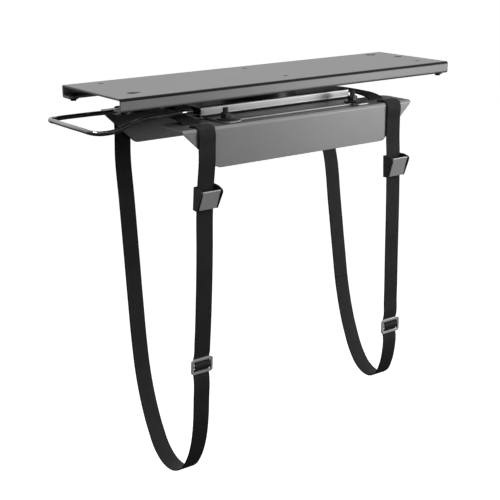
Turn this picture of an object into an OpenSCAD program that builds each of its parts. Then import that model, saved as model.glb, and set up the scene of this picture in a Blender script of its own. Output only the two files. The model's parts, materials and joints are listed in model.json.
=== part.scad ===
// Under-desk sling holder for a computer case: a ceiling track, a sliding and
// turning carriage, two width-adjusting side brackets and two webbing loops.
// Millimetres. The origin is the centre of the track's top face, which screws
// up against the desk. +X runs along the track and +Z points up.

/* [Track] */
// Length of the track along X
track_l = 432; // [400:4:520]
// Width of the track along Y
track_w = 118; // [112:2:130]
// Height of the track channel
track_h = 13; // [12.5:0.5:14]
// Sheet thickness of the track
track_t = 2; // [1.8:0.1:2.2]
// Width of each inward lip that carries the carriage
lip_w = 14; // [12:1:15]

/* [Screw holes] */
// Half spacing of the outer screw points along X
hole_x = 187; // [180:1:188]
// Half spacing of the screw points along Y
hole_y = 37; // [32:1:38]
// How far the outer screw points sit off the track's middle along X
hole_off_x = 6; // [0:1:7]
// How far all screw points sit off the track's middle along Y
hole_off_y = 5; // [0:1:5]
// Radius of the screw holes
hole_r = 3; // [2.5:0.25:3.5]

/* [Carriage] */
// Where the carriage stands along the track
carriage_x = -12; // [-90:1:110]
// Half length of the carriage plate
carriage_half = 96; // [90:1:100]

/* [Swivel pan] */
// Half length of the hat-shaped pan
pan_half = 98.5; // [94:0.5:100]
// Half width of the pan's raised middle
pan_hw = 35; // [34:0.5:40]

/* [Side brackets] */
// Half distance between the outer faces of the two side plates
side_y = 80.7; // [78:0.1:84]
// Half length of a bracket at its flange
ear_half = 149.4; // [146:0.2:155]
// Half length of a bracket at its lower edge
foot_half = 109.8; // [104:0.2:115]
// Height of the side plate
side_h = 40.9; // [36:0.1:46]

/* [Webbing] */
// Width of the webbing
web_w = 20; // [19:1:22]
// Thickness of the webbing
web_t = 1.5; // [1.2:0.1:1.5]
// Distance of each webbing loop from the swivel's middle along X
loop_x = 123; // [120:1:126]

/* [Pull handle] */
// Diameter of the handle's wire
wire_d = 4.8; // [4:0.2:5]
// Where the handle's outer bar lies along X
handle_x = -240; // [-260:1:-230]

/* [Hidden] */
$fn = 48;

// How far a cutting shape runs past the face it cuts
over = 1;
// Gap between faces that slide past each other
slip = 0.3;
// Radial clearance of a running fit
run = 0.05;

// Heights of the stack under the track, from the desk down
plate_z = -6;
plate_t = 2;
race_top = plate_z - plate_t;
ball_z = -15;
race_gap = 1.3;
pan_z = -21.4;
pan_t = 1.6;
brim_top = -31.6;
flange_z = -33.5;
sheet_t = 2;
side_bottom = flange_z - side_h;

// Bearing
ball_r = 2.4;
ball_ring_r = 32;
ball_count = 16;
race_r = 40;
race_bore = 22;
bolt_r = 6;

// Glide blocks
glide_l = 38;
glide_x = carriage_half - glide_l / 2;
glide_in = 46;
glide_out = track_w / 2 - track_t - slip;
glide_top = -track_t - slip;
glide_bottom = -track_h + track_t + 0.1;
plate_hw = 52;

// Clamping of the brackets
clamp_x = 84;
clamp_y = 58;
stud_r = 3;
tongue_half = 96;
tongue_in = 14;
clamp_travel = 30;

// Slots that the webbing is woven through, measured outward from the middle
inner_slot = [50.5, 56.5];
outer_slot = [61.5, 67.5];

// Handle pivot
rod_x = -102;
rod_z = -28;
rod_r = 2.5;

// ---------------------------------------------------------------- outlines

// Points of an arc in the plane, from angle a to angle b
function arc(c, r, a, b, n = 6) =
  [for (i = [0:n]) let (t = a + (b - a) * i / n) c + r * [cos(t), sin(t)]];

// Travel direction at point i of a closed route whose spacing may vary
function heading(p, i) =
  let (n = len(p), a = p[i] - p[(i + n - 1) % n], b = p[(i + 1) % n] - p[i],
       la = norm(a), lb = norm(b))
  (a / la * lb + b / lb * la) / (la + lb);

function blend_point(p, i, u) =
  let (j = (i + 1) % len(p), l = norm(p[j] - p[i]))
  p[i] * (2 * pow(u, 3) - 3 * u * u + 1) + heading(p, i) * l * (pow(u, 3) - 2 * u * u + u)
  + p[j] * (3 * u * u - 2 * pow(u, 3)) + heading(p, j) * l * (pow(u, 3) - u * u);

// A smooth closed curve through every point of a route
function smooth_loop(p, n) =
  [for (i = [0:len(p) - 1]) for (k = [0:n - 1]) blend_point(p, i, k / n)];

// A closed curve moved sideways by d
function offset_loop(p, d) =
  [for (i = [0:len(p) - 1])
    let (n = len(p), t = p[(i + 1) % n] - p[(i + n - 1) % n])
    p[i] + d * [-t[1], t[0]] / norm(t)];

// Rounded rectangle that spans two corners, r on every corner
function round_rect(a, b, r) = concat(
  arc([b[0] - r, b[1] - r], r, 0, 90), arc([a[0] + r, b[1] - r], r, 90, 180),
  arc([a[0] + r, a[1] + r], r, 180, 270), arc([b[0] - r, a[1] + r], r, 270, 360));

// ---------------------------------------------------------------- helpers

// Extrude an outline drawn in (Y, Z) along X from x0 to x1
module along_x(x0, x1) {
  translate([x0, 0, 0]) rotate([90, 0, 90]) linear_extrude(x1 - x0) children();
}

// Extrude an outline drawn in (X, Z) along Y from y0 to y1
module along_y(y0, y1) {
  translate([0, y1, 0]) rotate([90, 0, 0]) linear_extrude(y1 - y0) children();
}

module slab(low, high) {
  translate(low) cube(high - low);
}

module post(r, z0, z1) {
  translate([0, 0, z0]) cylinder(r = r, h = z1 - z0);
}

module ring(r_out, r_in, z0, z1) {
  difference() {
    post(r_out, z0, z1);
    post(r_in, z0 - over, z1 + over);
  }
}

// Straight slot with round ends, from point a to point b in plan
module slot_cut(a, b, r, z0, z1) {
  for (q = [a, b]) translate([q[0], q[1], 0]) post(r, z0, z1);
  if (a[0] == b[0])
    slab([a[0] - r, min(a[1], b[1]), z0], [a[0] + r, max(a[1], b[1]), z1]);
  else
    slab([min(a[0], b[0]), a[1] - r, z0], [max(a[0], b[0]), a[1] + r, z1]);
}

module at_clamps() {
  for (x = [-1, 1]) for (y = [-1, 1])
    translate([carriage_x + x * clamp_x, y * clamp_y, 0]) children();
}

// ---------------------------------------------------------------- track

key_big = 5.5;
key_run = 7;
track_fold = 0.5;
end_hole = [202, 9.5];
end_hole_r = 5;
bumper_x = 208;
bumper_y = 51;
bumper_r = 3;
bumper_low = -16;
bumper_high = -8;
bumper_flange_r = 5;
bumper_flange_t = 1.2;

// Keyhole whose narrow end is the screw point at x, y
module keyhole(x, y) {
  translate([x - key_run, y, 0]) post(key_big, -track_t - over, over);
  slot_cut([x - key_run, y], [x, y], hole_r, -track_t - over, over);
}

module track_channel() color("darkgray") difference() {
  along_x(-track_l / 2, track_l / 2)
    polygon(round_rect([-track_w / 2, -track_h], [track_w / 2, 0], 2.5));
  along_x(-track_l / 2 - over, track_l / 2 + over)
    polygon(round_rect([track_t - track_w / 2, track_t - track_h],
                       [track_w / 2 - track_t, -track_t], track_fold));
  slab([-track_l / 2 - over, lip_w - track_w / 2, -track_h - over],
       [track_l / 2 + over, track_w / 2 - lip_w, -track_t - over]);
  translate([0, hole_off_y, 0]) {
    for (q = [[hole_off_x - hole_x, hole_y], [hole_off_x + hole_x, -hole_y], [0, hole_y], [0, -hole_y]])
      translate([q[0], q[1], 0]) post(hole_r, -track_t - over, over);
    keyhole(hole_off_x - hole_x, -hole_y);
    keyhole(hole_off_x + hole_x, hole_y);
  }
  translate([end_hole[0], end_hole[1], 0]) post(end_hole_r, -track_t - over, over);
  for (x = [-1, 1]) for (y = [-1, 1])
    translate([x * bumper_x, y * bumper_y, 0]) post(bumper_r, -track_h - over, track_t - track_h + over);
}

module stop_bumpers() color("#222222")
  for (x = [-1, 1]) for (y = [-1, 1]) translate([x * bumper_x, y * bumper_y, 0]) {
    post(bumper_r, bumper_low, bumper_high);
    ring(bumper_flange_r, bumper_r, -track_h - bumper_flange_t, -track_h);
  }

// ---------------------------------------------------------------- carriage

rivet_r = 2;
rivet_y = 49;
race_rivet_ring = 26;

module carriage_plate() color("silver") translate([carriage_x, 0, 0]) difference() {
  translate([0, 0, plate_z - plate_t]) linear_extrude(plate_t)
    polygon(round_rect([-carriage_half, -plate_hw], [carriage_half, plate_hw], 6));
  post(bolt_r, plate_z - plate_t - over, plate_z + over);
  for (x = [-1, 1]) for (y = [-1, 1])
    translate([x * glide_x, y * rivet_y, 0]) post(rivet_r, plate_z - plate_t - over, plate_z + over);
  for (a = [45:90:315]) rotate(a) translate([race_rivet_ring, 0, 0])
    post(rivet_r, plate_z - plate_t - over, plate_z + over);
}

// Section of a glide block in (Y, Z), its outer edges chamfered
glide_edge = 0.8;
glide_section = [[glide_in, glide_bottom], [glide_out - glide_edge, glide_bottom],
  [glide_out, glide_bottom + glide_edge], [glide_out, glide_top - glide_edge],
  [glide_out - glide_edge, glide_top], [glide_in, glide_top]];

// Nylon block whose inner side is slotted over the plate's edge
module glide(sx, sy) color("#e8e6de")
  translate([carriage_x + sx * glide_x, 0, 0]) scale([1, sy, 1]) difference() {
    along_x(-glide_l / 2, glide_l / 2) polygon(glide_section);
    slab([-glide_l / 2 - over, glide_in - over, plate_z - plate_t],
         [glide_l / 2 + over, plate_hw, plate_z]);
    translate([0, rivet_y, 0]) post(rivet_r, glide_bottom - over, glide_top + over);
  }

module glide_near_left() glide(-1, -1);
module glide_near_right() glide(1, -1);
module glide_far_left() glide(-1, 1);
module glide_far_right() glide(1, 1);

// Depth of a rivet's end below the face around it
recess = 0.4;

module glide_rivets() color("silver")
  for (x = [-1, 1]) for (y = [-1, 1])
    translate([carriage_x + x * glide_x, y * rivet_y, 0])
      post(rivet_r, glide_bottom + recess, glide_top - recess);

ball_fit = 0.1;

module race(z0, z1) color("silver") translate([carriage_x, 0, 0]) difference() {
  ring(race_r, race_bore, z0, z1);
  translate([0, 0, ball_z]) rotate_extrude() translate([ball_ring_r, 0]) circle(r = ball_r + ball_fit);
  for (a = [45:90:315]) rotate(a) translate([race_rivet_ring, 0, 0])
    post(rivet_r, z0 - over, z1 + over);
}

module upper_race() race(ball_z + race_gap, race_top);
module lower_race() race(pan_z, ball_z - race_gap);

// Rivets from height z0 to z1 with a flat head that starts at head_z
rivet_head_r = 3.2;
rivet_head_t = 0.8;

module race_rivets(z0, z1, head_z) color("gray")
  for (a = [45:90:315]) translate([carriage_x, 0, 0]) rotate(a)
    translate([race_rivet_ring, 0, 0]) {
      post(rivet_r, z0, z1);
      post(rivet_head_r, head_z, head_z + rivet_head_t);
    }

module upper_race_rivets() race_rivets(ball_z + race_gap + recess, plate_z, plate_z);
module lower_race_rivets()
  race_rivets(pan_z - pan_t, ball_z - race_gap - recess, pan_z - pan_t - rivet_head_t);

// Pivot bolt with its washer and nut, all under the pan
pivot_head_r = 11;
pivot_head_top = -3.2;
pivot_end = -32.8;
washer_z = [-26, -24.5];
pivot_nut_t = 6;
pivot_nut_r = 9.8;

module pivot_bolt() color("silver") translate([carriage_x, 0, 0]) {
  post(bolt_r, pivot_end, plate_z);
  post(pivot_head_r, plate_z, pivot_head_top);
}

module pivot_washer() color("silver")
  translate([carriage_x, 0, 0]) ring(pivot_head_r, bolt_r, washer_z[0], washer_z[1]);

module pivot_nut() color("silver") translate([carriage_x, 0, washer_z[0] - pivot_nut_t])
  difference() {
    cylinder(r = pivot_nut_r, h = pivot_nut_t, $fn = 6);
    post(bolt_r, -over, pivot_nut_t + over);
  }

cage_t = 1.4;
cage_r = [28, 36];

module ball_cage() color("goldenrod") translate([carriage_x, 0, 0]) difference() {
  ring(cage_r[1], cage_r[0], ball_z - cage_t / 2, ball_z + cage_t / 2);
  for (i = [0:ball_count - 1]) rotate(i * 360 / ball_count)
    translate([ball_ring_r, 0, 0]) post(ball_r + ball_fit, ball_z - over, ball_z + over);
}

module balls() color("silver") translate([carriage_x, 0, ball_z])
  for (i = [0:ball_count - 1]) rotate(i * 360 / ball_count)
    translate([ball_ring_r, 0, 0]) sphere(r = ball_r);

// ---------------------------------------------------------------- swivel pan

brim_half = 95.5;
brim_w = 68;
tab_w = 75;
pan_bend = 2.5;
brim_bottom = brim_top - pan_t;
tab_half = 10.75;
tab_r = 5;
pivot_hole_r = 8;

// Right half of the hat section from its crown to the brim and back
hat_half = concat(
  arc([pan_hw - pan_bend, pan_z - pan_bend], pan_bend, 90, 0),
  arc([pan_hw + pan_bend, brim_top + pan_bend], pan_bend, 180, 270),
  [[brim_w, brim_top], [brim_w, brim_bottom]],
  arc([pan_hw + pan_bend, brim_top + pan_bend], pan_bend + pan_t, 270, 180),
  arc([pan_hw - pan_bend, pan_z - pan_bend], pan_bend - pan_t, 0, 90));

module swivel_pan() color("gainsboro") translate([carriage_x, 0, 0]) difference() {
  union() {
    along_x(-pan_half, pan_half) polygon(hat_half);
    along_x(-pan_half, pan_half) polygon([for (q = hat_half) [-q[0], q[1]]]);
    slab([-pan_half, -pan_hw + pan_bend, pan_z - pan_t], [pan_half, pan_hw - pan_bend, pan_z]);
    for (x = [-1, 1]) for (y = [-1, 1])
      translate([x * (brim_half - tab_half), y * (tab_w - tab_half), brim_bottom])
        linear_extrude(pan_t) polygon(round_rect([-tab_half, -tab_half], [tab_half, tab_half], tab_r));
  }
  for (x = [-1, 1]) for (y = [-1, 1]) {
    slab([min(x * brim_half, x * (brim_half + 10)), min(y * (pan_hw + 5), y * tab_w), brim_bottom - over],
         [max(x * brim_half, x * (brim_half + 10)), max(y * (pan_hw + 5), y * tab_w), brim_top + over]);
    translate([x * clamp_x, y * clamp_y, 0]) post(stud_r + ball_fit, brim_bottom - over, brim_top + over);
  }
  post(pivot_hole_r, pan_z - pan_t - over, pan_z + over);
  for (a = [45:90:315]) rotate(a) translate([race_rivet_ring, 0, 0])
    post(rivet_r, pan_z - pan_t - over, pan_z + over);
  for (y = [-1, 1]) translate([screw_x - carriage_x, y * screw_y, 0])
    post(screw_r, pan_z - pan_t - over, pan_z + over);
}

bushing_t = 1.4;

module pivot_bushing() color("#e8e6de") translate([carriage_x, 0, 0]) difference() {
  union() {
    post(pivot_hole_r, pan_z - pan_t, pan_z);
    post(pivot_head_r, pan_z - pan_t - bushing_t, pan_z - pan_t);
  }
  post(bolt_r + run, pan_z - pan_t - bushing_t - over, pan_z + over);
}

// Block under the pan that holds the handle's pivot rod with two screws
screw_x = -92;
screw_y = 7;
screw_r = 2;
screw_end = -30;
screw_head_r = 3.6;
screw_head_t = 2;
block_low = [-108, -12, -32.6];
block_high = [-86, 12, pan_z - pan_t];
rod_half = 32.5;

module handle_block() color("#2b2b2b") difference() {
  slab(block_low, block_high);
  translate([rod_x, 0, rod_z]) rotate([90, 0, 0]) cylinder(r = rod_r, h = 2 * rod_half, center = true);
  for (y = [-1, 1]) translate([screw_x, y * screw_y, 0])
    post(screw_r, screw_end, block_high[2] + over);
}

module block_screws() color("gray")
  for (y = [-1, 1]) translate([screw_x, y * screw_y, 0]) {
    post(screw_r, screw_end, pan_z);
    post(screw_head_r, pan_z, pan_z + screw_head_t);
  }

module handle_rod() color("silver")
  translate([rod_x, 0, rod_z]) rotate([90, 0, 0]) cylinder(r = rod_r, h = 2 * rod_half, center = true);

// Clamp bolts: a domed head under the flange, stud, washer and nut above the brim
bolt_head_z = flange_z - sheet_t - slip;
bolt_head_t = 2.4;
dome_r = 8.5;
dome_up = 3;
stud_top = -20.2;
clamp_washer_r = 9;
washer_top = brim_top + 1.2;
nut_r = 5.8;
nut_t = 5;

module clamp_bolts() color("#222222") at_clamps() {
  post(stud_r, bolt_head_z - over, stud_top);
  difference() {
    translate([0, 0, bolt_head_z + dome_up]) sphere(r = dome_r);
    post(dome_r + over, bolt_head_z, bolt_head_z + 2 * dome_r);
    post(dome_r + over, bolt_head_z - 2 * dome_r, bolt_head_z - bolt_head_t);
  }
}

module clamp_washers() color("#333333") at_clamps()
  ring(clamp_washer_r, stud_r, brim_top, washer_top);

module clamp_nuts() color("#222222") at_clamps() difference() {
  translate([0, 0, washer_top]) cylinder(r = nut_r, h = nut_t, $fn = 6);
  post(stud_r, washer_top - over, washer_top + nut_t + over);
}

// ---------------------------------------------------------------- brackets

bend_r = 3;
ear_in = 36;
ear_r = 10;
foot_r = 9;

// Folded corner section of a bracket in (Y, Z)
bracket_section = concat(
  [[tongue_in, flange_z]], arc([side_y - bend_r, flange_z - bend_r], bend_r, 90, 0),
  [[side_y, side_bottom], [side_y - sheet_t, side_bottom]],
  arc([side_y - bend_r, flange_z - bend_r], bend_r - sheet_t, 0, 90),
  [[tongue_in, flange_z - sheet_t]]);

// Flange in plan: two ears with rounded inner corners and a deeper tongue
flange_plan = concat(
  [[tongue_half, ear_in]], arc([ear_half - ear_r, ear_in + ear_r], ear_r, 270, 360),
  [[ear_half, side_y], [-ear_half, side_y]],
  arc([ear_r - ear_half, ear_in + ear_r], ear_r, 180, 270),
  [[-tongue_half, ear_in], [-tongue_half, tongue_in], [tongue_half, tongue_in]]);

// Side plate in (X, Z), with slanted ends and rounded lower corners
side_plan = concat(
  [[ear_half, flange_z + over], [ear_half, flange_z - bend_r]],
  arc([foot_half - 4, side_bottom + foot_r], foot_r, -40, -90),
  arc([4 - foot_half, side_bottom + foot_r], foot_r, -90, -140),
  [[-ear_half, flange_z - bend_r], [-ear_half, flange_z + over]]);

module bracket(side) color("darkgray")
  translate([carriage_x, 0, 0]) scale([1, side, 1]) difference() {
    intersection() {
      along_x(-ear_half, ear_half) polygon(bracket_section);
      union() {
        translate([0, 0, flange_z - bend_r]) linear_extrude(bend_r + over) polygon(flange_plan);
        along_y(side_y - bend_r, side_y + over) polygon(side_plan);
      }
    }
    for (x = [-1, 1]) {
      slot_cut([x * clamp_x, clamp_y + slip], [x * clamp_x, clamp_y - clamp_travel - 2],
               stud_r + 0.5, flange_z - sheet_t - over, flange_z + over);
      for (s = [inner_slot, outer_slot])
        slab([x * loop_x - web_w / 2 - 1, s[0], flange_z - sheet_t - over],
             [x * loop_x + web_w / 2 + 1, s[1], flange_z + over]);
    }
  }

module near_bracket() bracket(-1);
module far_bracket() bracket(1);

// ---------------------------------------------------------------- webbing

// The way the webbing is woven over and under a flange, from the middle outward
weave = [[20, -29], [36, -29.4], [46, -30.8], [51.8, -32.6], [55.4, -35.8], [59, -36.6],
         [62.6, -35.8], [66.2, -32.8], [70, -32.3], [77, -32.3], [80.7, -33.8], [81.9, -37]];

// Centre and lean of each slider and buckle: [Y, Z, lean from upright]
slider_left = [-64.8, -286, 4];
slider_right = [-87, -291, 0];
buckle_left = [-76.9, -103, 5.5];
buckle_right = [-83.8, -103, -2];

// The webbing's way through a slider: behind its edge bars, over its middle bar
slider_wave = [[1, 11], [1.95, 7.6], [1.65, 5.4], [0, 3.6], [-1.65, 1.8], [-1.95, 0],
               [-1.65, -1.8], [0, -3.6], [1.65, -5.4], [1.95, -7.6], [1, -11]];

function through(s) =
  [for (q = slider_wave) [s[0] + q[0] * cos(s[2]) - q[1] * sin(s[2]),
                          s[1] + q[0] * sin(s[2]) + q[1] * cos(s[2])]];

near_weave = [for (q = weave) [-q[0], q[1]]];
far_weave = [for (i = [len(weave) - 1:-1:0]) weave[i]];

left_route = concat([[0, -29]], near_weave,
  [[-81.9, -52], [-81.5, -66], [-80.2, -76], [-78.4, -88], [-76.9, -103], [-75.5, -118],
   [-74.1, -158], [-70.9, -212], [-66.9, -257]], through(slider_left),
  [[-62.3, -328], [-60.3, -352], [-55.3, -377], [-46.4, -398.8], [-32.5, -417], [-13, -426],
   [4.4, -424.6], [20.4, -414.6], [33.3, -396.5], [47.3, -367], [57, -335], [62.8, -301], [67.7, -255],
   [73.1, -196], [78.6, -138], [83.6, -86], [82.1, -60]], far_weave);

// The right loop's far side drops straight through the inner slot instead
right_route = concat([[0, -29]], near_weave,
  [[-81.9, -52], [-82.2, -74], [-83.2, -88], [-83.8, -103], [-84.3, -118], [-84.9, -142],
   [-85.5, -200], [-86.2, -260]], through(slider_right),
  [[-85.5, -322], [-81.8, -338], [-74.5, -352.5], [-64, -359], [-53, -358.7], [-41.5, -353],
   [-30.5, -340.5], [-17.6, -315], [-2.8, -268], [5.6, -221], [14.8, -163], [23.6, -110], [36.5, -76],
   [47, -54], [52.6, -41], [53.3, -35.6], [51.4, -32.4], [47.5, -32.1], [38, -31.9],
   [24, -29.9]]);

// Gap where each loop is cut in half at the middle
seam = 0.8;

module webbing(route, x, side) color("#2a2a2a") intersection() {
  difference() {
    along_x(x - web_w / 2, x + web_w / 2)
      polygon(offset_loop(smooth_loop(route, 4), -web_t / 2));
    along_x(x - web_w / 2 - over, x + web_w / 2 + over)
      polygon(offset_loop(smooth_loop(route, 4), web_t / 2));
  }
  scale([1, side, 1]) slab([x - web_w, seam / 2, -500], [x + web_w, 200, 0]);
}

module strap_left_near() webbing(left_route, carriage_x - loop_x, -1);
module strap_left_far() webbing(left_route, carriage_x - loop_x, 1);
module strap_right_near() webbing(right_route, carriage_x + loop_x, -1);
module strap_right_far() webbing(right_route, carriage_x + loop_x, 1);

// ---------------------------------------------------------------- cam buckles

// Place a buckle or slider on its strap; its outer side faces -Y
module on_strap(x, s) {
  translate([x, s[0], s[1]]) rotate([s[2], 0, 0]) children();
}

left_x = carriage_x - loop_x;
right_x = carriage_x + loop_x;
cheek_out = 12.7;
cheek_in = 11.4;
back_y = [1.2, 2.4];
frame_half = 12;
cheek_r = 2;
cheek_crown = 3;
pin_y = -4.8;
pin_z = 1.7;
cam_r = 3.6;
buckle_pin_r = 1.3;
bar_y = -2.2;
bar_z = -10.3;
bar_r = 1;

// Side wall of the buckle frame in (Y, Z)
cheek = concat([[back_y[1], -frame_half]], arc([-3.1, cheek_r - frame_half], cheek_r, 270, 200),
  arc([-9.6, 7.6], cheek_crown, 195, 95), [[-4.3, frame_half], [back_y[1], frame_half]]);

module pin_cut(r) {
  translate([0, pin_y, pin_z]) rotate([0, 90, 0]) cylinder(r = r, h = 4 * cheek_out, center = true);
}

module buckle_frame() color("#202020") difference() {
  union() {
    for (x = [[-cheek_out, -cheek_in], [cheek_in, cheek_out]]) along_x(x[0], x[1]) polygon(cheek);
    slab([-cheek_out, back_y[0], -frame_half], [cheek_out, back_y[1], frame_half]);
  }
  pin_cut(buckle_pin_r);
  translate([0, bar_y, bar_z]) rotate([0, 90, 0]) cylinder(r = bar_r, h = 4 * cheek_out, center = true);
}

// Thumb plate with two cheeks that carry a cam drum round the pin
thumb_bottom = [-5.1, -11.2];
thumb_top = [-11.8, 9.3];
lever_hw = 10.3;
thumb_t = 1.4;
thumb = let (d = (thumb_top - thumb_bottom) / norm(thumb_top - thumb_bottom), n = [-d[1], d[0]])
  [thumb_bottom, thumb_top, thumb_top - n * thumb_t, thumb_bottom - n * thumb_t];
lever_cheek = [[pin_y - 2.5, pin_z - 3], [pin_y + 1.3, pin_z - 2.6], [pin_y + 1.7, pin_z + 2.6],
               [pin_y - 4.8, pin_z + 3.9]];

// Gap in the middle of the drum that leaves room for the spring
spring_bay = [[-6.35, -2.6], [-9.15, 6], [0.5, 6], [0.5, -2.6]];
spring_bay_half = 3.6;

module buckle_lever() color("darkgray") difference() {
  union() {
    along_x(-lever_hw, lever_hw) polygon(thumb);
    along_x(-lever_hw, lever_hw) polygon(lever_cheek);
    translate([0, pin_y, pin_z]) rotate([0, 90, 0]) cylinder(r = cam_r, h = 2 * lever_hw, center = true);
  }
  pin_cut(buckle_pin_r + run);
  along_x(-spring_bay_half, spring_bay_half) polygon(spring_bay);
}

module buckle_pin() color("silver")
  translate([0, pin_y, pin_z]) rotate([0, 90, 0])
    cylinder(r = buckle_pin_r, h = 2 * (cheek_out + recess), center = true);

// Torsion spring drawn as four touching turns round the pin
coil_r = 2.1;
coil_wire_r = 0.6;

module buckle_spring() color("gray")
  for (x = [-1.8:1.2:1.8]) translate([x, pin_y, pin_z]) rotate([0, 90, 0])
    rotate_extrude() translate([coil_r, 0]) circle(r = coil_wire_r);

module buckle_bar() color("gray")
  translate([0, bar_y, bar_z]) rotate([0, 90, 0]) cylinder(r = bar_r, h = 2 * cheek_out, center = true);

module left_buckle_frame() on_strap(left_x, buckle_left) buckle_frame();
module left_buckle_lever() on_strap(left_x, buckle_left) buckle_lever();
module left_buckle_pin() on_strap(left_x, buckle_left) buckle_pin();
module left_buckle_spring() on_strap(left_x, buckle_left) buckle_spring();
module left_buckle_bar() on_strap(left_x, buckle_left) buckle_bar();
module right_buckle_frame() on_strap(right_x, buckle_right) buckle_frame();
module right_buckle_lever() on_strap(right_x, buckle_right) buckle_lever();
module right_buckle_pin() on_strap(right_x, buckle_right) buckle_pin();
module right_buckle_spring() on_strap(right_x, buckle_right) buckle_spring();
module right_buckle_bar() on_strap(right_x, buckle_right) buckle_bar();

// ---------------------------------------------------------------- sliders

slider_hw = 13;
slider_hh = 8.5;
slider_t = 2;
bar_w = 2.6;
window_hw = 10.6;
slider_r = 2.6;

module slider() color("silver") difference() {
  along_y(-slider_t / 2, slider_t / 2)
    polygon(round_rect([-slider_hw, -slider_hh], [slider_hw, slider_hh], slider_r));
  for (z = [[bar_w / 2, slider_hh - bar_w], [bar_w - slider_hh, -bar_w / 2]])
    slab([-window_hw, -over - slider_t, z[0]], [window_hw, slider_t + over, z[1]]);
}

module left_slider() on_strap(left_x, slider_left) slider();
module right_slider() on_strap(right_x, slider_right) slider();

// ---------------------------------------------------------------- handle

leg_y = 45;
wire_sides = 12;

// One leg of the wire from the outer corner to the pivot: [X, distance out, Z]
near_leg = [[handle_x, 30, -31.2], [handle_x + 2, 38, -32], [handle_x + 7.5, 43.6, -32.8],
            [handle_x + 17, leg_y, -33], [-214, leg_y, -32.3], [-203, leg_y, -29.4],
            [-189, leg_y, -25.4], [-178, leg_y, -24], [-160, leg_y, -23.4], [-135, leg_y, -22.5],
            [-129, 43, -22.9], [-121, 34, -25.2], [-114, 27.5, -27.2], [-108, 26, -27.9],
            [-105.2, 26, rod_z]];
far_leg = [[handle_x, 30, -31.2], [handle_x, 41, -31.1], [handle_x + 2.5, 44.4, -31],
           [handle_x + 8, leg_y, -30.9], [-200, leg_y, -30.7], [-166, leg_y, -30.7],
           [-157, leg_y, -30.2], [-151, leg_y, -28.2], [-145.5, leg_y, -25.4], [-140, leg_y, -23.2],
           [-135, leg_y, -22.5], [-129, 43, -22.9], [-121, 34, -25.2], [-114, 27.5, -27.2],
           [-108, 26, -27.9], [-105.2, 26, rod_z]];
handle_route = concat(
  [for (i = [len(near_leg) - 1:-1:0]) [near_leg[i][0], -near_leg[i][1], near_leg[i][2]]],
  far_leg);

function open_heading(p, i) =
  let (a = p[max(i, 1)] - p[max(i, 1) - 1],
       b = p[min(i + 1, len(p) - 1)] - p[min(i, len(p) - 2)],
       la = norm(a), lb = norm(b))
  (a / la * lb + b / lb * la) / (la + lb);

function open_point(p, i, u) =
  let (l = norm(p[i + 1] - p[i]))
  p[i] * (2 * pow(u, 3) - 3 * u * u + 1) + open_heading(p, i) * l * (pow(u, 3) - 2 * u * u + u)
  + p[i + 1] * (3 * u * u - 2 * pow(u, 3)) + open_heading(p, i + 1) * l * (pow(u, 3) - u * u);

wire_path = concat(
  [for (i = [0:len(handle_route) - 2]) for (k = [0:1]) open_point(handle_route, i, k / 2)],
  [handle_route[len(handle_route) - 1]]);

// Ring of points round the wire at path point i; the path never runs along Z
function wire_ring(i) =
  let (t = open_heading(wire_path, i), f = t / norm(t),
       s = cross([0, 0, 1], f), side = s / norm(s), up = cross(f, side))
  [for (k = [0:wire_sides - 1]) let (a = 360 * k / wire_sides)
    wire_path[i] + wire_d / 2 * (cos(a) * side + sin(a) * up)];

module pull_handle() color("#151515") {
  n = len(wire_path);
  m = wire_sides;
  polyhedron(
    points = [for (i = [0:n - 1]) each wire_ring(i)],
    faces = concat(
      [[for (k = [0:m - 1]) k]],
      [for (i = [0:n - 2]) for (k = [0:m - 1]) let (j = (k + 1) % m)
        [i * m + k, (i + 1) * m + k, (i + 1) * m + j, i * m + j]],
      [[for (k = [m - 1:-1:0]) (n - 1) * m + k]]));
}

collar_y = 26;
collar_r = 4.4;
collar_w = 8;

module handle_collars() color("#151515")
  for (y = [-1, 1]) translate([rod_x, y * collar_y, rod_z]) rotate([90, 0, 0]) difference() {
    cylinder(r = collar_r, h = collar_w, center = true);
    cylinder(r = rod_r + run, h = collar_w + over, center = true);
  }

track_channel();
stop_bumpers();
carriage_plate();
glide_near_left();
glide_near_right();
glide_far_left();
glide_far_right();
glide_rivets();
upper_race();
upper_race_rivets();
pivot_bolt();
pivot_washer();
pivot_nut();
ball_cage();
balls();
swivel_pan();
lower_race();
lower_race_rivets();
pivot_bushing();
handle_block();
block_screws();
handle_rod();
clamp_bolts();
clamp_washers();
clamp_nuts();
near_bracket();
far_bracket();
strap_left_near();
strap_left_far();
strap_right_near();
strap_right_far();
left_buckle_frame();
left_buckle_lever();
left_buckle_pin();
left_buckle_spring();
left_buckle_bar();
right_buckle_frame();
right_buckle_lever();
right_buckle_pin();
right_buckle_spring();
right_buckle_bar();
left_slider();
right_slider();
pull_handle();
handle_collars();
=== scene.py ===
"""Looks of an under-desk sling holder for a computer case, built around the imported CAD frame.

Metres, in the CAD's own frame: +X along the track, +Z up into the desk, -Y the buckle side.
"""

import json
import math

import bpy
import numpy as np
from mathutils import Matrix, Vector


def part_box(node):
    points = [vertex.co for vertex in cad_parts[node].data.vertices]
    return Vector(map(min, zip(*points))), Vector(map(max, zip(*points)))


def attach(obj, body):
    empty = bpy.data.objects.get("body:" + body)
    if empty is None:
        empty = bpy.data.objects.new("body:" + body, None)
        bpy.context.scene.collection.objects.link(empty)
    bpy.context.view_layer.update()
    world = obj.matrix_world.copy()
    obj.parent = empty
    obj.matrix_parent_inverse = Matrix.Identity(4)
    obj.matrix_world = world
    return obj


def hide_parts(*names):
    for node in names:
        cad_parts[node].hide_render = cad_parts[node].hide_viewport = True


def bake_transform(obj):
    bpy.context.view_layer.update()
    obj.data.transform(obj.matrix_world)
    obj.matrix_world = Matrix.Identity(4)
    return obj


MM = 0.001

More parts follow.
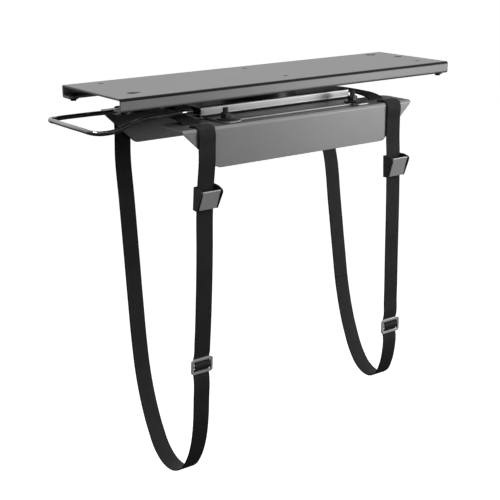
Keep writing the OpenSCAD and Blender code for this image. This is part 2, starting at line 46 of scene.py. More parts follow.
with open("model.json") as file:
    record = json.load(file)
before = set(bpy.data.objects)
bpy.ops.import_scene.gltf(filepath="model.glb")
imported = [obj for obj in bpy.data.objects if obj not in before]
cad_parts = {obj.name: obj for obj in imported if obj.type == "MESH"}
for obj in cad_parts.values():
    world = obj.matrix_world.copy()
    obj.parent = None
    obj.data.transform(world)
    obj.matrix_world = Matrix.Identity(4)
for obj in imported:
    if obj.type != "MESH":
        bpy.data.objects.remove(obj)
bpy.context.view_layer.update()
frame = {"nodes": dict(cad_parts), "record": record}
nodes = frame["nodes"]


# ------------------------------------------------------------------ camera, light and floor

CAMERA_AT = (-0.731, -0.968, 0.169)
CAMERA_YAW, CAMERA_PITCH, CAMERA_ROLL = 36.12, 16.96, -0.4
CAMERA_LENS = 80.5

FLOOR_Z, FLOOR_HALF = -0.78, 30.0
WALL_REACH, WALL_TOP, WALL_SIDES = 29.0, 40.0, 48
FLOOR_GLOW, WALL_GLOW = 0.62, 1.0
PALE = (0.93, 0.93, 0.93)
CARD_COLOUR = (0.02, 0.02, 0.02)

# brightness of the room behind, in front of and below the object, and where behind is
BACK_LIGHT, FRONT_LIGHT, LOW_LIGHT = 0.75, 0.10, 0.06
BEHIND = (0.56, 0.80, 0.0)


def place_camera():
    yaw, pitch, roll = (math.radians(angle) for angle in (CAMERA_YAW, CAMERA_PITCH, CAMERA_ROLL))
    ahead = Vector((math.sin(yaw) * math.cos(pitch), math.cos(yaw) * math.cos(pitch), -math.sin(pitch)))
    right = Vector((math.cos(yaw), -math.sin(yaw), 0.0))
    up = right.cross(ahead)
    turned = right * math.cos(roll) + up * math.sin(roll)
    data = bpy.data.cameras.new("camera")
    data.sensor_width = 36.0
    data.lens = CAMERA_LENS
    data.clip_end = 60.0
    camera = bpy.data.objects.new("camera", data)
    bpy.context.scene.collection.objects.link(camera)
    top = turned.cross(ahead)
    camera.matrix_world = Matrix((turned, top, -ahead)).transposed().to_4x4()
    camera.location = CAMERA_AT
    bpy.context.scene.camera = camera


def face_towards(obj, place, aim):
    obj.location = place
    obj.rotation_euler = (Vector(aim) - Vector(place)).to_track_quat("-Z", "Y").to_euler()


def area_light(name, place, aim, size, power):
    data = bpy.data.lights.new(name, "AREA")
    data.shape = "RECTANGLE"
    data.size, data.size_y = size
    data.energy = power
    lamp = bpy.data.objects.new(name, data)
    bpy.context.scene.collection.objects.link(lamp)
    face_towards(lamp, place, aim)
    return lamp


def plain_material(name, colour, rough, glow=0.0):
    """A flat finish for the studio itself, which may glow white."""
    mat = bpy.data.materials.new(name)
    mat.use_nodes = True
    shader = mat.node_tree.nodes["Principled BSDF"]
    shader.inputs["Base Color"].default_value = (*colour, 1)
    shader.inputs["Roughness"].default_value = rough
    shader.inputs["Emission Color"].default_value = (1, 1, 1, 1)
    shader.inputs["Emission Strength"].default_value = glow
    return mat


def studio_piece(name, points, faces, mat):
    mesh = bpy.data.meshes.new(name)
    mesh.from_pydata(points, [], faces)
    mesh.materials.append(mat)
    piece = bpy.data.objects.new(name, mesh)
    bpy.context.scene.collection.objects.link(piece)
    return piece


def rectangle(half_x, half_y, z):
    """Corners of a level rectangle round the origin, and its one face."""
    corners = [(-half_x, -half_y, z), (half_x, -half_y, z), (half_x, half_y, z), (-half_x, half_y, z)]
    return corners, [(0, 1, 2, 3)]


def dark_panel(name, place, aim, size):
    """A black studio card that only reflections and bounced light can see."""
    points, faces = rectangle(size[0] / 2, size[1] / 2, 0)
    card = studio_piece(name, points, faces, plain_material(name, CARD_COLOUR, 0.9))
    face_towards(card, place, aim)
    card.visible_camera = False
    card.visible_shadow = False


def light_world():
    """A white room behind the object that falls off to a dim one in front and below."""
    world = bpy.data.worlds.new("studio")
    bpy.context.scene.world = world
    world.use_nodes = True
    tree = world.node_tree
    back = tree.nodes["Background"]
    back.inputs["Color"].default_value = (1, 1, 1, 1)
    heading = tree.nodes.new("ShaderNodeTexCoord").outputs["Generated"]
    behind = tree.nodes.new("ShaderNodeVectorMath")
    behind.operation = "DOT_PRODUCT"
    behind.inputs[1].default_value = BEHIND
    wire(tree, heading, behind.inputs[0])
    fade = spread(tree, behind.outputs["Value"], FRONT_LIGHT, BACK_LIGHT, -0.45, 0.55)
    low = spread(tree, split_axes(tree, heading)["Z"], LOW_LIGHT, 1.0, -0.38, 0.12)
    wire(tree, math_node(tree, "MULTIPLY", fade, low), back.inputs["Strength"])


def make_backdrop():
    """A pale wall all round that only the camera sees, so that every side has a plain background."""
    turns = [2 * math.pi * k / WALL_SIDES for k in range(WALL_SIDES)]
    points = [(WALL_REACH * math.cos(a), WALL_REACH * math.sin(a), z)
              for z in (FLOOR_Z, WALL_TOP) for a in turns]
    faces = [(k, (k + 1) % WALL_SIDES, WALL_SIDES + (k + 1) % WALL_SIDES, WALL_SIDES + k)
             for k in range(WALL_SIDES)]
    wall = studio_piece("backdrop", points, faces, plain_material("backdrop", PALE, 0.85, WALL_GLOW))
    for kind in ("diffuse", "glossy", "transmission", "volume_scatter", "shadow"):
        setattr(wall, "visible_" + kind, False)


def make_stage():
    points, faces = rectangle(FLOOR_HALF, FLOOR_HALF, FLOOR_Z)
    floor = studio_piece("floor", points, faces, plain_material("floor", PALE, 0.85, FLOOR_GLOW))
    floor.visible_diffuse = False
    floor.visible_glossy = False
    make_backdrop()
    dark_panel("dark_card", (0.08, -0.60, -0.12), (0.02, 0, -0.06), (0.5, 0.7))
    area_light("side_light", (1.25, -1.55, 0.12), (0, 0, -0.1), (1.0, 0.9), 13)
    key = area_light("key_light", (0.7, -1.3, 1.15), (0, 0, -0.1), (0.9, 0.9), 20)
    key.visible_glossy = False
    area_light("top_light", (-0.75, -0.35, 1.5), (-0.1, 0, -0.1), (0.45, 0.45), 9)
    scene = bpy.context.scene
    scene.view_settings.view_transform = "Standard"
    scene.view_settings.look = "None"


# ------------------------------------------------------------------ materials

RIB_MM, YARN_MM = 1.9, 0.8
WEB_GAP, WEB_YARN = (0.0040, 0.0040, 0.0042), (0.024, 0.024, 0.025)
# painted shade: the colour of the dark line painted along the track's fold
FOLD_SHADE_COLOUR = (0.006, 0.006, 0.006)
FINE_SHARE = 0.6

# where painted shade goes: the dark line along the track's fold, and the darker tops of the brackets and
# the pan's brim, in metres
TRACK_FOLD_Y, TRACK_FOLD_Z = 0.0563, -0.0025
BRACKET_SHADE_Z, BRACKET_SHADE_Y = -0.033, 0.0775
BRIM_SHADE_Z, BRIM_SHADE_Y = -0.0312, 0.1


def wire(tree, source, target):
    tree.links.new(source, target)


def add(tree, kind, **inputs):
    made = tree.nodes.new("ShaderNode" + kind)
    for key, value in inputs.items():
        made.inputs[key.replace("_", " ")].default_value = value
    return made


def spread(tree, value, low, high, start=0.3, end=0.7):
    """A value of about start to end turned into low to high."""
    made = add(tree, "MapRange", From_Min=start, From_Max=end, To_Min=low, To_Max=high)
    wire(tree, value, made.inputs["Value"])
    return made.outputs["Result"]


def noise(tree, coords, scale, detail=3.0, stretch=(1, 1, 1)):
    """Noise whose features are about 1/scale metres, drawn out along an axis by stretch."""
    mapping = add(tree, "Mapping")
    mapping.inputs["Scale"].default_value = stretch
    wire(tree, coords, mapping.inputs["Vector"])
    made = add(tree, "TexNoise", Scale=scale, Detail=detail, Roughness=0.55)
    wire(tree, mapping.outputs["Vector"], made.inputs["Vector"])
    return made.outputs["Fac"]


def math_node(tree, operation, *values):
    """A maths node's output; each value is a socket or a plain number."""
    made = add(tree, "Math")
    made.operation = operation
    for k, value in enumerate(values):
        if isinstance(value, (int, float)):
            made.inputs[k].default_value = value
        else:
            wire(tree, value, made.inputs[k])
    return made.outputs[0]


def split_axes(tree, vector):
    made = tree.nodes.new("ShaderNodeSeparateXYZ")
    wire(tree, vector, made.inputs[0])
    return made.outputs


def mix(tree, factor, first, second, blend="MIX"):
    """Colour from first to second by factor; each is a socket or a plain colour."""
    made = tree.nodes.new("ShaderNodeMix")
    made.data_type = "RGBA"
    made.blend_type = blend
    wire(tree, factor, made.inputs[0])
    for socket, colour in ((made.inputs[6], first), (made.inputs[7], second)):
        if isinstance(colour, tuple):
            socket.default_value = (*colour, 1)
        else:
            wire(tree, colour, socket)
    return made.outputs[2]


def recolour(mat, factor, second, blend="MIX"):
    """Lay a second colour over what already feeds a material's base colour."""
    tree = mat.node_tree
    base = tree.nodes["Principled BSDF"].inputs["Base Color"]
    wire(tree, mix(tree, factor, base.links[0].from_socket, second, blend), base)
    return mat


def edge_mask(tree, radius):
    """1 along sharp edges and 0 on open faces, with the rounded normal beside it."""
    bevel = add(tree, "Bevel", Radius=radius)
    bevel.samples = 6
    flat = add(tree, "NewGeometry")
    dot = add(tree, "VectorMath")
    dot.operation = "DOT_PRODUCT"
    wire(tree, bevel.outputs[0], dot.inputs[0])
    wire(tree, flat.outputs["Normal"], dot.inputs[1])
    return spread(tree, dot.outputs["Value"], 1.0, 0.0, 0.80, 0.995), bevel.outputs[0]


def tone(colour, gain):
    return tuple(min(1.0, c * gain) for c in colour)


def surface(name, colour, rough, metallic=0.0, vary=0.08, grain=900.0, stretch=(1, 1, 1), bump=0.00001,
            edge=1.0, edge_radius=0.0006, patch=25.0, **sockets):
    """A finish with slow patches, fine grain in colour, roughness and height, and sharp edges painted
    lighter, partly as wear and partly as a painted highlight.
    """
    mat = bpy.data.materials.new(name)
    mat.use_nodes = True
    tree = mat.node_tree
    shader = tree.nodes["Principled BSDF"]
    shader.inputs["Metallic"].default_value = metallic
    for key, value in sockets.items():
        shader.inputs[key.replace("_", " ")].default_value = value
    coords = tree.nodes.new("ShaderNodeTexCoord").outputs["Object"]
    fine = noise(tree, coords, grain, 4.0, stretch)
    slow = noise(tree, coords, patch, 2.0)
    both = math_node(tree, "MULTIPLY_ADD", fine, FINE_SHARE,
                     math_node(tree, "MULTIPLY", slow, 1 - FINE_SHARE))
    base = mix(tree, spread(tree, both, 0.0, 1.0), tone(colour, 1 - vary), tone(colour, 1 + vary))
    mask, rounded = edge_mask(tree, edge_radius)
    # sharp edges take the colour times the edge gain: partly wear, partly a painted highlight
    wire(tree, mix(tree, mask, base, tone(colour, edge)), shader.inputs["Base Color"])
    wire(tree, spread(tree, fine, rough * 0.85, rough * 1.15), shader.inputs["Roughness"])
    height = add(tree, "Bump", Distance=bump, Strength=0.6)
    wire(tree, fine, height.inputs["Height"])
    wire(tree, rounded, height.inputs["Normal"])
    wire(tree, height.outputs["Normal"], shader.inputs["Normal"])
    return mat


def wave(tree, value, step):
    """Rounded ridges, one for each step of the value."""
    turned = math_node(tree, "MULTIPLY", value, math.pi / step)
    return math_node(tree, "ABSOLUTE", math_node(tree, "SINE", turned))


def weave_height(tree, across, along):
    """Lengthwise ribs crossed by slanted yarns, from 0 in the gaps to 1 on the ribs."""
    rib = wave(tree, across, RIB_MM)
    slant = math_node(tree, "MULTIPLY_ADD", math_node(tree, "PINGPONG", across, RIB_MM), 0.9, along)
    yarn = wave(tree, slant, YARN_MM)
    return math_node(tree, "MULTIPLY", math_node(tree, "POWER", rib, 0.5),
                     math_node(tree, "MULTIPLY_ADD", yarn, 0.6, 0.4))


def webbing_material():
    """Black woven webbing: lengthwise ribs, slanted yarns that cross them, and darker selvedges."""
    mat = bpy.data.materials.new("black_webbing")
    mat.use_nodes = True
    tree = mat.node_tree
    shader = tree.nodes["Principled BSDF"]
    shader.inputs["Specular IOR Level"].default_value = 0.25
    shader.inputs["Sheen Weight"].default_value = 0.03
    shader.inputs["Sheen Roughness"].default_value = 0.4
    uv = tree.nodes.new("ShaderNodeUVMap")
    uv.uv_map = "weave"
    # U and V are in millimetres, across and along
    axes = split_axes(tree, uv.outputs["UV"])
    across, along = axes["X"], axes["Y"]
    weave = weave_height(tree, across, along)
    fuzz = add(tree, "TexNoise", Scale=0.9, Detail=4.0, Roughness=0.6)
    patch = add(tree, "TexNoise", Scale=0.035, Detail=2.0)
    for texture in (fuzz, patch):
        wire(tree, uv.outputs["UV"], texture.inputs["Vector"])
    rim = spread(tree, math_node(tree, "ABSOLUTE", across), 1.0, 0.45, 8.4, 9.9)
    level = math_node(tree, "MULTIPLY", math_node(tree, "MULTIPLY_ADD", weave, 0.7, 0.3), rim)
    level = math_node(tree, "MULTIPLY", level, spread(tree, fuzz.outputs["Fac"], 0.75, 1.2))
    level = math_node(tree, "MULTIPLY", level, spread(tree, patch.outputs["Fac"], 0.85, 1.15))
    wire(tree, mix(tree, level, WEB_GAP, WEB_YARN), shader.inputs["Base Color"])
    wire(tree, spread(tree, weave, 0.72, 0.5, 0.0, 1.0), shader.inputs["Roughness"])
    height = add(tree, "Bump", Distance=0.00018, Strength=0.8)
    wire(tree, weave, height.inputs["Height"])
    wire(tree, height.outputs["Normal"], shader.inputs["Normal"])
    return mat


def painted_fold_shade(mat, y_from, z_from):
    """The tight fold along the track's two top edges gets painted shade: a dark line laid into the colour.
    """
    tree = mat.node_tree
    place = split_axes(tree, tree.nodes.new("ShaderNodeTexCoord").outputs["Object"])
    side = spread(tree, math_node(tree, "ABSOLUTE", place["Y"]), 0.0, 1.0, y_from, y_from + 0.0004)
    top = spread(tree, place["Z"], 0.0, 1.0, z_from - 0.0003, z_from)
    return recolour(mat, math_node(tree, "MULTIPLY", side, top), FOLD_SHADE_COLOUR)


def painted_top_shade(mat, z_top, y_out, share):
    """Upward faces below z_top and within y_out of the middle, always in the track's shade, get painted
    shade: their colour is multiplied darker.
    """
    tree = mat.node_tree
    facing = split_axes(tree, tree.nodes.new("ShaderNodeNewGeometry").outputs["Normal"])
    place = split_axes(tree, tree.nodes.new("ShaderNodeTexCoord").outputs["Object"])
    upward = spread(tree, facing["Z"], 0.0, 1.0, 0.6, 0.95)
    below = spread(tree, place["Z"], 1.0, 0.0, z_top, z_top + 0.0005)
    within = spread(tree, math_node(tree, "ABSOLUTE", place["Y"]), 1.0, 0.0, y_out, y_out + 0.001)
    level = math_node(tree, "MULTIPLY", math_node(tree, "MULTIPLY", upward, below), within)
    # painted shade: the shadow of the track is multiplied into the colour
    return recolour(mat, level, (share, share, share), "MULTIPLY")


def make_materials():
    along = (0.04, 1.0, 1.0)
    # edge lightens the sharp edges: partly wear, partly a painted highlight along the bends
    grey = dict(rough=0.40, metallic=0.45, vary=0.07, grain=1400.0, bump=0.000012, edge=1.9)
    track = surface("grey_coat_track", (0.25, 0.25, 0.255), **grey)
    bracket = surface("grey_coat", (0.29, 0.29, 0.295), stretch=(0.25, 1, 1), **grey)
    bright = surface("bright_zinc", (0.40, 0.40, 0.405), 0.38, 1.0, 0.04, 1600.0, along, 0.000002, 1.7)
    return {
        # painted shade: a dark line along the track's fold, and darker tops on the brackets and the pan's
        # brim
        "track": painted_fold_shade(track, TRACK_FOLD_Y, TRACK_FOLD_Z),
        "bracket": painted_top_shade(bracket, BRACKET_SHADE_Z, BRACKET_SHADE_Y, 0.4),
        "bright_steel": painted_top_shade(bright, BRIM_SHADE_Z, BRIM_SHADE_Y, 0.35),
        "zinc_steel": surface("zinc", (0.56, 0.565, 0.58), 0.32, 1.0, 0.10, 700.0, bump=0.000008, edge=1.3),
        "ball_steel": surface("ball_chrome", (0.78, 0.78, 0.80), 0.08, 1.0, 0.02, 400.0, bump=0.000001),
        "brass_cage": surface("cage_brass", (0.60, 0.43, 0.17), 0.30, 1.0, 0.10, 900.0, bump=0.000006,
                              edge=1.3),
        "black_steel": surface("black_oxide", (0.022, 0.022, 0.024), 0.34, 0.2, 0.20, 1200.0, bump=0.000010,
                               edge=2.2, Coat_Weight=0.25, Coat_Roughness=0.3),
        "black_wire": surface("black_nickel", (0.42, 0.42, 0.43), 0.10, 1.0, 0.05, 300.0, bump=0.000002),
        "black_plastic": surface("black_nylon", (0.025, 0.025, 0.027), 0.5, 0.0, 0.15, 1800.0, bump=0.00002,
                                 edge=1.5),
        "nylon": surface("white_nylon", (0.70, 0.69, 0.64), 0.45, 0.0, 0.05, 900.0, bump=0.00001,
                         Subsurface_Weight=0.15, Subsurface_Scale=0.001),
        "rubber": surface("rubber", (0.018, 0.018, 0.018), 0.7, 0.0, 0.2, 2200.0, bump=0.00003, edge=1.6),
        "satin_lever": surface("satin_plate", (0.70, 0.70, 0.705), 0.36, 0.5, 0.08, 1500.0, (1, 1, 0.05),
                               0.00001, 1.7),
        "slider_chrome": surface("nickel", (0.85, 0.85, 0.86), 0.32, 0.7, 0.08, 800.0, bump=0.000006,
                                 edge=1.4),
        "webbing": webbing_material(),
    }


def paint(obj, mat):
    if obj.material_slots:
        for slot in obj.material_slots:
            slot.material = mat
    else:
        obj.data.materials.append(mat)


def paint_cad(mats):
    for part in frame["record"]["subparts"]:
        name, slot = part["node"], part["material_slot"]
        if slot == "grey_steel":
            slot = "track" if name == "track_channel" else "bracket"
        paint(nodes[name], mats[slot])


# ------------------------------------------------------------------ meshes

def add_mesh(name, points, faces, mat, smooth=True):
    mesh = bpy.data.meshes.new(name)
    mesh.from_pydata([tuple(p) for p in points], [], faces)
    mesh.validate()
    mesh.materials.append(mat)
    mesh.polygons.foreach_set("use_smooth", [smooth] * len(mesh.polygons))
    obj = bpy.data.objects.new(name, mesh)
    bpy.context.scene.collection.objects.link(obj)
    return obj


def headings(p, closed):
    """Travel direction at each point of a route whose spacing may vary."""
    p = np.asarray(p, float)
    n = len(p)
    out = np.zeros_like(p)
    for i in range(n):
        if closed:
            a, b = p[i] - p[i - 1], p[(i + 1) % n] - p[i]
        else:
            a = p[max(i, 1)] - p[max(i, 1) - 1]
            b = p[min(i + 1, n - 1)] - p[min(i, n - 2)]
        la, lb = np.linalg.norm(a), np.linalg.norm(b)
        out[i] = (a / la * lb + b / lb * la) / (la + lb)
    return out


def smooth_route(p, parts, closed):
    """The CAD's own curve through every point of a route."""
    p = np.asarray(p, float)
    h = headings(p, closed)
    out = []
    last = len(p) if closed else len(p) - 1
    for i in range(last):
        j = (i + 1) % len(p)
        reach = np.linalg.norm(p[j] - p[i])
        for k in range(parts):
            u = k / parts
            out.append(p[i] * (2 * u**3 - 3 * u * u + 1) + h[i] * reach * (u**3 - 2 * u * u + u)
                       + p[j] * (3 * u * u - 2 * u**3) + h[j] * reach * (u**3 - u * u))
    if not closed:
        out.append(p[-1])
    return np.array(out)


def even_steps(p, step):
    """The same open curve in equal steps of about that length, and the distance along it."""
    d = np.concatenate([[0], np.cumsum(np.linalg.norm(np.diff(p, axis=0), axis=1))])
    count = max(4, int(round(d[-1] / step)))
    at = np.linspace(0, d[-1], count + 1)
    return np.stack([np.interp(at, d, p[:, k]) for k in range(p.shape[1])], 1), at


def sleeve(rows, sides, closed_end=True):
    """Faces over rings of points that follow each other, with a cap on the first and maybe the last."""
    faces = []
    for i in range(rows - 1):
        for k in range(sides):
            j = (k + 1) % sides
            faces.append((i * sides + k, i * sides + j, (i + 1) * sides + j, (i + 1) * sides + k))
    faces.append(tuple(reversed(range(sides))))
    if closed_end:
        faces.append(tuple((rows - 1) * sides + k for k in range(sides)))
    return faces


def lathe(rings, sides, centre):
    """Rings of (radius, height) turned about Z through centre, with both ends closed."""
    cx, cy = centre
    points = []
    for r, z in rings:
        for k in range(sides):
            a = 2 * math.pi * k / sides
            points.append((cx + r * math.cos(a), cy + r * math.sin(a), z))
    return points, sleeve(len(rings), sides)


def round_wire(line, across, up, radius, sides):
    """A round wire along a line, given two directions square to it at each point."""
    points = []
    for p, s, u in zip(line, across, up):
        for k in range(sides):
            a = 2 * math.pi * k / sides
            points.append(p + radius * (math.cos(a) * s + math.sin(a) * u))
    return points, sleeve(len(line), sides)


def tangents(line):
    along = np.gradient(line, axis=0)
    return along / np.linalg.norm(along, axis=1)[:, None]


def merged(parts):
    points, faces = [], []
    for p, f in parts:
        base = len(points)
        points += list(p)
        faces += [tuple(i + base for i in face) for face in f]
    return points, faces


# ------------------------------------------------------------------ webbing

# routes are (Y, Z) in millimetres, round each loop from above the pan
WEB_WIDTH, WEB_THICK = 20.0, 1.5
SELVEDGE_R, SELVEDGE_DROP = 0.7, 0.1
WEAVE = [(20, -29), (36, -29.4), (46, -30.8), (51.8, -32.6), (55.4, -35.8), (59, -36.6), (62.6, -35.8),
         (66.2, -32.8), (70, -32.3), (77, -32.3), (80.7, -33.8), (81.9, -37)]
SLIDER_WAVE = [(1, 11), (1.95, 7.6), (1.65, 5.4), (0, 3.6), (-1.65, 1.8), (-1.95, 0), (-1.65, -1.8),
               (0, -3.6), (1.65, -5.4), (1.95, -7.6), (1, -11)]
SLIDER_LEFT = (-64.8, -286, 4)
SLIDER_RIGHT = (-87, -291, 0)


def through(slider):
    y, z, lean = slider
    c, s = math.cos(math.radians(lean)), math.sin(math.radians(lean))
    return [(y + a * c - b * s, z + a * s + b * c) for a, b in SLIDER_WAVE]


NEAR_WEAVE = [(-y, z) for y, z in WEAVE]
LEFT_ROUTE = [(0, -29)] + NEAR_WEAVE + [
    (-81.9, -52), (-81.5, -66), (-80.2, -76), (-78.4, -88), (-76.9, -103), (-75.5, -118), (-74.1, -158),
    (-70.9, -212), (-66.9, -257)] + through(SLIDER_LEFT) + [
    (-62.3, -328), (-60.3, -352), (-55.3, -377), (-46.4, -398.8), (-32.5, -417), (-13, -426), (4.4, -424.6),
    (20.4, -414.6), (33.3, -396.5), (47.3, -367), (57, -335), (62.8, -301), (67.7, -255), (73.1, -196),
    (78.6, -138), (83.6, -86), (82.1, -60)] + WEAVE[::-1]
RIGHT_ROUTE = [(0, -29)] + NEAR_WEAVE + [
    (-81.9, -52), (-82.2, -74), (-83.2, -88), (-83.8, -103), (-84.3, -118), (-84.9, -142), (-85.5, -200),
    (-86.2, -260)] + through(SLIDER_RIGHT) + [
    (-85.5, -322), (-81.8, -338), (-74.5, -352.5), (-64, -359), (-53, -358.7), (-41.5, -353),
    (-30.5, -340.5), (-17.6, -315), (-2.8, -268), (5.6, -221), (14.8, -163), (23.6, -110), (36.5, -76),
    (47, -54), (52.6, -41), (53.3, -35.6),
    (51.4, -32.4), (47.5, -32.1), (38, -31.9), (24, -29.9)]


def half_of(route, side):
    """The stretch of a closed loop on one side of Y = 0, from where it starts there to where it ends."""
    loop = smooth_route(route, 10, True)
    loop = np.vstack([loop, loop[:1]])
    y = loop[:, 0] * side
    cuts = {}
    for i in range(len(loop) - 1):
        if (y[i] > 0) != (y[i + 1] > 0) and y[i] != y[i + 1]:
            t = y[i] / (y[i] - y[i + 1])
            cuts[i] = loop[i] + t * (loop[i + 1] - loop[i])
    inside = [k for k in range(len(loop) - 1) if y[k] > 1e-9]
    first, last = inside[0], inside[-1]
    start = cuts.get(first - 1, loop[0])
    stop = cuts.get(last, loop[0])
    return np.vstack([[start], loop[first:last + 1], [stop]])


def web_profile():
    """Cross-section of the webbing in millimetres: raised ribs on both faces and rolled selvedges."""
    half_w, half_t = WEB_WIDTH / 2, WEB_THICK / 2
    flat_end = half_w - SELVEDGE_R
    across = np.linspace(-flat_end, flat_end, 49)
    ribs = half_t - 0.12 + 0.11 * np.abs(np.sin(math.pi * across / RIB_MM))
    ribs[0] = ribs[-1] = half_t - SELVEDGE_DROP
    upper = list(zip(across, ribs))
    edge = [(flat_end + SELVEDGE_R * math.cos(t), (half_t - SELVEDGE_DROP) * math.sin(t))
            for t in np.radians([60, 30, 0, -30, -60])]
    lower = [(a, -r) for a, r in upper[::-1]]
    other = [(-a, -h) for a, h in edge]
    return np.array(upper + edge + lower + other)


def webbing(name, route, x_mm, side, mat):
    line, along = even_steps(half_of(route, side), 1.25)
    tangent = tangents(line)
    normal = np.stack([-tangent[:, 1], tangent[:, 0]], 1)
    profile = web_profile()
    rows, cols = len(line), len(profile)
    points = np.zeros((rows, cols, 3))
    points[:, :, 0] = x_mm + profile[None, :, 0]
    points[:, :, 1] = line[:, None, 0] + normal[:, None, 0] * profile[None, :, 1]
    points[:, :, 2] = line[:, None, 1] + normal[:, None, 1] * profile[None, :, 1]
    faces = []
    for i in range(rows - 1):
        for k in range(cols):
            j = (k + 1) % cols
            faces.append((i * cols + k, (i + 1) * cols + k, (i + 1) * cols + j, i * cols + j))
    faces.append(tuple(range(cols)))
    faces.append(tuple((rows - 1) * cols + k for k in reversed(range(cols))))
    piece = add_mesh(name, points.reshape(-1, 3) * MM, faces, mat)
    uv = piece.data.uv_layers.new(name="weave")
    index = np.zeros(len(piece.data.loops), np.int32)
    piece.data.loops.foreach_get("vertex_index", index)
    flat = np.stack([profile[index % cols, 0], along[index // cols]], 1)
    uv.data.foreach_set("uv", flat.astype(np.float32).ravel())
    return piece, along[-1]


# ------------------------------------------------------------------ handle, bolts and springs

STUD_R, DOME_R = 3.0, 8.5
NUT_R, NUT_TALL = 5.8, 5.0
SPRING_WIRE_R = 0.6
HANDLE_R = 2.4
HANDLE_X = -240
# the handle's two legs as (X, Y, Z) in millimetres, from the grip in to the rod
NEAR_LEG = [(HANDLE_X, 30, -31.2), (HANDLE_X + 2, 38, -32), (HANDLE_X + 7.5, 43.6, -32.8),
            (HANDLE_X + 17, 45, -33), (-214, 45, -32.3), (-203, 45, -29.4), (-189, 45, -25.4),
            (-178, 45, -24), (-160, 45, -23.4), (-135, 45, -22.5), (-129, 43, -22.9),
            (-121, 34, -25.2), (-114, 27.5, -27.2), (-108, 26, -27.9), (-105.2, 26, -28)]
FAR_LEG = [(HANDLE_X, 30, -31.2), (HANDLE_X, 41, -31.1), (HANDLE_X + 2.5, 44.4, -31),
           (HANDLE_X + 8, 45, -30.9), (-200, 45, -30.7), (-166, 45, -30.7), (-157, 45, -30.2),
           (-151, 45, -28.2), (-145.5, 45, -25.4), (-140, 45, -23.2)] + NEAR_LEG[9:]


def tube(line, radius, sides):
    """A round tube along a path that never runs straight up."""
    along = tangents(line)
    side = np.cross(np.array([0.0, 0.0, 1.0]), along)
    side /= np.linalg.norm(side, axis=1)[:, None]
    return round_wire(line, side, np.cross(along, side), radius, sides)


def handle_wire(mat):
    route = [(x, -y, z) for x, y, z in NEAR_LEG[::-1]] + FAR_LEG
    line, _ = even_steps(smooth_route(route, 8, False), 1.2)
    points, faces = tube(line * MM, HANDLE_R * MM, 32)
    return add_mesh("handle_wire", points, faces, mat)


def threaded(radius, pitch, depth, z0, z1, centre, sides=32):
    """A stud with a real helical thread and a chamfered tip."""
    steps = int(round((z1 - z0) / (pitch / 6)))
    points = []
    for i in range(steps + 1):
        z = z0 + (z1 - z0) * i / steps
        tip = min(1.0, (z1 - z) / (0.8 * MM))
        for k in range(sides):
            phase = (z / pitch - k / sides) % 1.0
            r = radius - depth * abs(2 * phase - 1)
            r = min(r, radius - depth * (1 - tip) * 1.4)
            a = 2 * math.pi * k / sides
            points.append((centre[0] + r * math.cos(a), centre[1] + r * math.sin(a), z))
    return points, sleeve(steps + 1, sides)


def clamp_places():
    """Centres of the four clamp bolts, from the corners of the box round their nuts."""
    lo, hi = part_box("clamp_nuts")
    half = NUT_R * MM
    flat = half * math.cos(math.pi / 6)
    return [(x, y) for x in (lo.x + half, hi.x - half) for y in (lo.y + flat, hi.y - flat)]


def clamp_bolts(mat):
    """Dome-headed bolts with threaded studs that stand up through the pan's brim."""
    lo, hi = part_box("clamp_bolts")
    head_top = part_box("near_bracket")[1].z - 2.3 * MM
    parts = []
    for place in clamp_places():
        dome = [(0.4 * MM, lo.z)]
        for t in np.radians([12, 22, 32, 41]):
            dome.append((DOME_R * MM * math.sin(t) * 0.98, lo.z + DOME_R * MM * (1 - math.cos(t)) * 0.55))
        radius = dome[-1][0]
        dome += [(radius + 0.7 * MM, lo.z + 1.5 * MM), (radius + 0.8 * MM, head_top - 0.3 * MM),
                 (radius + 0.5 * MM, head_top), (STUD_R * MM, head_top)]
        parts.append(lathe(dome, 40, place))
        parts.append(threaded(STUD_R * MM, 1.0 * MM, 0.5 * MM, head_top, hi.z, place))
    points, faces = merged(parts)
    return add_mesh("clamp_bolt_set", points, faces, mat)


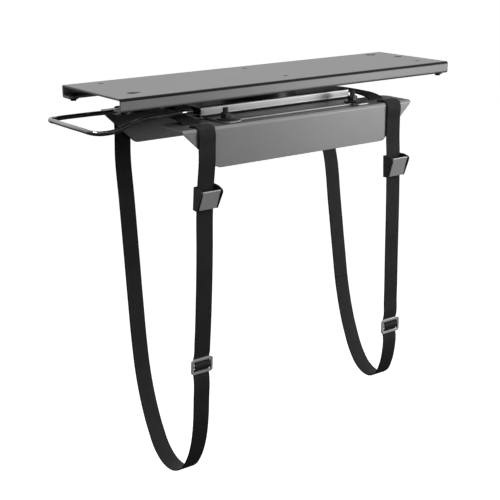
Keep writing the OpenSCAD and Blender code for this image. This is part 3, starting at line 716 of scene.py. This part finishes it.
def clamp_nuts(mat):
    """Hexagon nuts with chamfered corners and countersunk threads."""
    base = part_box("clamp_nuts")[0].z
    # outer reach and height of each ring, from the lower thread mouth round to the upper one
    rings = [(3.35, 0.0), (4.9, 0.0), (NUT_R, 0.55), (NUT_R, NUT_TALL - 0.55), (4.9, NUT_TALL),
             (3.35, NUT_TALL), (STUD_R, NUT_TALL - 0.4)]
    sides = 48
    flat = NUT_R * math.cos(math.pi / 6)
    parts = []
    for cx, cy in clamp_places():
        points = []
        for reach, up in rings:
            for k in range(sides):
                a = 2 * math.pi * k / sides
                hexagon = flat / math.cos((a % (math.pi / 3)) - math.pi / 6)
                r = min(reach, hexagon) * MM
                points.append((cx + r * math.cos(a), cy + r * math.sin(a), base + up * MM))
        parts.append((points, sleeve(len(rings), sides, closed_end=False)))
    points, faces = merged(parts)
    return add_mesh("clamp_nut_set", points, faces, mat, smooth=False)


def spring(name, node, mat):
    """Torsion spring of the buckle's lever as a real coil round the pin."""
    lo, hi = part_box(node)
    centre = (lo + hi) / 2
    wire_r = SPRING_WIRE_R * MM
    reach = (hi.z - lo.z) / 2 - wire_r - 0.1 * MM
    turns, steps = 4.0, 24
    line = []
    for i in range(int(turns * steps) + 1):
        a = 2 * math.pi * i / steps
        x = lo.x + wire_r + (hi.x - lo.x - 2 * wire_r) * i / (turns * steps)
        line.append((x, centre.y + reach * math.cos(a), centre.z + reach * math.sin(a)))
    line = np.array(line)
    outward = line * (0, 1, 1) - np.array([0, centre.y, centre.z])
    outward /= np.linalg.norm(outward, axis=1)[:, None]
    points, faces = round_wire(line, np.cross(tangents(line), outward), outward, wire_r, 10)
    return add_mesh(name, points, faces, mat)


# ------------------------------------------------------------------ assembly

def build_webbing(mats):
    for end, route in (("left", LEFT_ROUTE), ("right", RIGHT_ROUTE)):
        low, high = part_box(f"strap_{end}_near")
        x_mm = 500.0 * (low.x + high.x)
        for side, sign in (("near", -1), ("far", 1)):
            node = f"strap_{end}_{side}"
            piece, length = webbing(f"webbing_{end}_{side}", route, x_mm, sign, mats["webbing"])
            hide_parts(node)
            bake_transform(piece)
            holders = [f"{side}_bracket"]
            if side == "near":
                holders += [f"{end}_buckle_frame", f"{end}_slider"]


def build_hardware(mats):
    handle = handle_wire(mats["black_wire"])
    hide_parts("pull_handle")
    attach(handle, "handle")
    bolts = clamp_bolts(mats["black_steel"])
    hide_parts("clamp_bolts")
    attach(bolts, "swivel")
    nuts = clamp_nuts(mats["black_steel"])
    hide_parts("clamp_nuts")
    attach(nuts, "swivel")
    for end in ("left", "right"):
        coil = spring(f"{end}_spring_coil", f"{end}_buckle_spring", mats["zinc_steel"])
        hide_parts(f"{end}_buckle_spring")
        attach(coil, "near_side")


place_camera()
light_world()
make_stage()
MATERIALS = make_materials()
paint_cad(MATERIALS)
build_webbing(MATERIALS)
build_hardware(MATERIALS)
